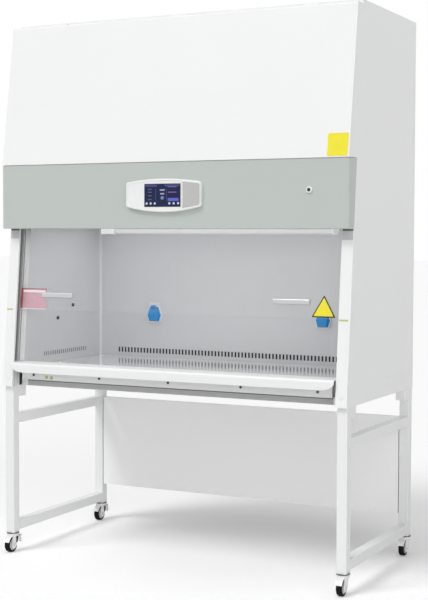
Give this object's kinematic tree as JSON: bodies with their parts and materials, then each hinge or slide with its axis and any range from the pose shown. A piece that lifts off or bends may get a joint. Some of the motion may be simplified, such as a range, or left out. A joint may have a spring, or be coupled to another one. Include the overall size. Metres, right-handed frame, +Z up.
{
  "type": "biosafety cabinet",
  "caption": "Ventilated work cabinet with a sliding glass sash, perforated work floor, hinged upper service door and armrest, on a tubular stand with castors.",
  "frame": {"origin": "on the floor below the middle of the cabinet body, half-way from armrest lip to rear panel", "axes": "+X to the user's right, +Y towards the rear of the cabinet, +Z up"},
  "size_m": [1.508, 0.7848, 2.164],
  "materials": {
    "white_paint": "satin powder coat",
    "band_paint": "satin powder coat",
    "stainless": "fine brushed",
    "zinc_sheet": "dull galvanised",
    "guide_aluminium": "anodised",
    "guard_paint": "satin powder coat",
    "filter_media": "pleated",
    "inlet_plastic": "fine texture",
    "screw_steel": "polished",
    "plug_rubber": "matt",
    "lamp_aluminium": "white lacquer",
    "lamp_plastic": "opal",
    "pod_plastic": "moulded",
    "screen_plastic": "display window",
    "port_plastic": "moulded",
    "sash_glass": "clear tempered",
    "handle_steel": "satin",
    "hinge_steel": "satin",
    "cap_plastic": "moulded",
    "socket_plastic": "moulded",
    "lid_plastic": "translucent blue",
    "race_steel": "oiled",
    "fork_steel": "gloss enamel",
    "tyre_rubber": "matt",
    "hub_plastic": "moulded",
    "pedal_plastic": "moulded"
  },
  "bodies": {
    "cabinet": {"right_side_panel": "white_paint", "left_side_panel": "white_paint", "roof_panel": "white_paint", "rear_panel": "white_paint", "power_inlet": "inlet_plastic", "right_guide": "guide_aluminium", "left_guide": "guide_aluminium", "base_pan": "white_paint", "front_beam": "white_paint", "beam_screws": "screw_steel", "armrest": "white_paint", "right_inner_wall": "stainless", "left_inner_wall": "stainless", "inner_back_wall": "stainless", "service_plugs": "plug_rubber", "ceiling_diffuser": "stainless", "tray_rails": "stainless", "corner_coves": "stainless", "lamp_batten": "lamp_aluminium", "lamp_tube": "lamp_plastic", "plenum_housing": "zinc_sheet", "exhaust_filter": "filter_media", "exhaust_guard": "guard_paint", "control_fascia": "band_paint", "test_port": "port_plastic", "control_pod": "pod_plastic", "pod_screen": "screen_plastic", "door_hinge_fixed": "hinge_steel", "column_caps": "cap_plastic", "socket_bases": "socket_plastic", "front_legs": "white_paint", "rear_legs": "white_paint", "upper_rails": "white_paint", "lower_rails": "white_paint", "stand_pads": "white_paint", "stand_back_panel": "white_paint", "caster_mounts": "race_steel"},
    "sash": {"sash_glass": "sash_glass", "sash_handles": "handle_steel", "handle_posts": "handle_steel"},
    "service_door": {"service_door": "white_paint", "door_hinge_moving": "hinge_steel"},
    "left_lid": {"left_socket_lid": "lid_plastic"},
    "right_lid": {"right_socket_lid": "lid_plastic"},
    "tray": {"work_tray": "stainless"},
    "grille": {"front_grille": "stainless"},
    "front_left_swivel": {"front_left_fork": "fork_steel"},
    "front_left_wheel": {"front_left_tyre": "tyre_rubber", "front_left_hub": "hub_plastic"},
    "front_left_pedal": {"front_left_pedal": "pedal_plastic"},
    "front_right_swivel": {"front_right_fork": "fork_steel"},
    "front_right_wheel": {"front_right_tyre": "tyre_rubber", "front_right_hub": "hub_plastic"},
    "rear_left_swivel": {"rear_left_fork": "fork_steel"},
    "rear_left_wheel": {"rear_left_tyre": "tyre_rubber", "rear_left_hub": "hub_plastic"},
    "rear_left_pedal": {"rear_left_pedal": "pedal_plastic"},
    "rear_right_swivel": {"rear_right_fork": "fork_steel"},
    "rear_right_wheel": {"rear_right_tyre": "tyre_rubber", "rear_right_hub": "hub_plastic"}
  },
  "joints": [
    {"name": "sash_slide", "type": "slide", "parent": "cabinet", "child": "sash", "axis": [0, 0.0946, 0.9955], "range_m": [-0.212, 0.219]},
    {"name": "service_door_hinge", "type": "hinge", "parent": "cabinet", "child": "service_door", "pos_m": [0, -0.23397, 2.154], "axis": [-1, 0, 0], "range_deg": [0, 75]},
    {"name": "left_lid_hinge", "type": "hinge", "parent": "cabinet", "child": "left_lid", "pos_m": [-0.398, 0.262, 0.994], "axis": [-1, 0, 0], "range_deg": [0, 100]},
    {"name": "right_lid_hinge", "type": "hinge", "parent": "cabinet", "child": "right_lid", "pos_m": [0.398, 0.262, 0.994], "axis": [-1, 0, 0], "range_deg": [0, 100]},
    {"name": "tray_lift", "type": "slide", "parent": "cabinet", "child": "tray", "axis": [0, 0, 1], "range_m": [0, 0.1]},
    {"name": "grille_lift", "type": "slide", "parent": "cabinet", "child": "grille", "axis": [0, 0, 1], "range_m": [0, 0.1]},
    {"name": "front_left_swivel_turn", "type": "hinge", "parent": "cabinet", "child": "front_left_swivel", "pos_m": [-0.728, -0.333, 0.072], "axis": [0, 0, 1], "continuous": true},
    {"name": "front_left_wheel_spin", "type": "hinge", "parent": "front_left_swivel", "child": "front_left_wheel", "pos_m": [-0.728, -0.347, 0.032], "axis": [1, 0, 0], "continuous": true},
    {"name": "front_left_pedal_rock", "type": "hinge", "parent": "front_left_swivel", "child": "front_left_pedal", "pos_m": [-0.728, -0.303, 0.048], "axis": [1, 0, 0], "range_deg": [-12, 12]},
    {"name": "front_right_swivel_turn", "type": "hinge", "parent": "cabinet", "child": "front_right_swivel", "pos_m": [0.728, -0.333, 0.072], "axis": [0, 0, 1], "continuous": true},
    {"name": "front_right_wheel_spin", "type": "hinge", "parent": "front_right_swivel", "child": "front_right_wheel", "pos_m": [0.728, -0.347, 0.032], "axis": [1, 0, 0], "continuous": true},
    {"name": "rear_left_swivel_turn", "type": "hinge", "parent": "cabinet", "child": "rear_left_swivel", "pos_m": [-0.728, 0.357, 0.072], "axis": [0, 0, 1], "continuous": true},
    {"name": "rear_left_wheel_spin", "type": "hinge", "parent": "rear_left_swivel", "child": "rear_left_wheel", "pos_m": [-0.728, 0.343, 0.032], "axis": [1, 0, 0], "continuous": true},
    {"name": "rear_left_pedal_rock", "type": "hinge", "parent": "rear_left_swivel", "child": "rear_left_pedal", "pos_m": [-0.728, 0.387, 0.048], "axis": [1, 0, 0], "range_deg": [-12, 12]},
    {"name": "rear_right_swivel_turn", "type": "hinge", "parent": "cabinet", "child": "rear_right_swivel", "pos_m": [0.728, 0.357, 0.072], "axis": [0, 0, 1], "continuous": true},
    {"name": "rear_right_wheel_spin", "type": "hinge", "parent": "rear_right_swivel", "child": "rear_right_wheel", "pos_m": [0.728, 0.343, 0.032], "axis": [1, 0, 0], "continuous": true}
  ]
}
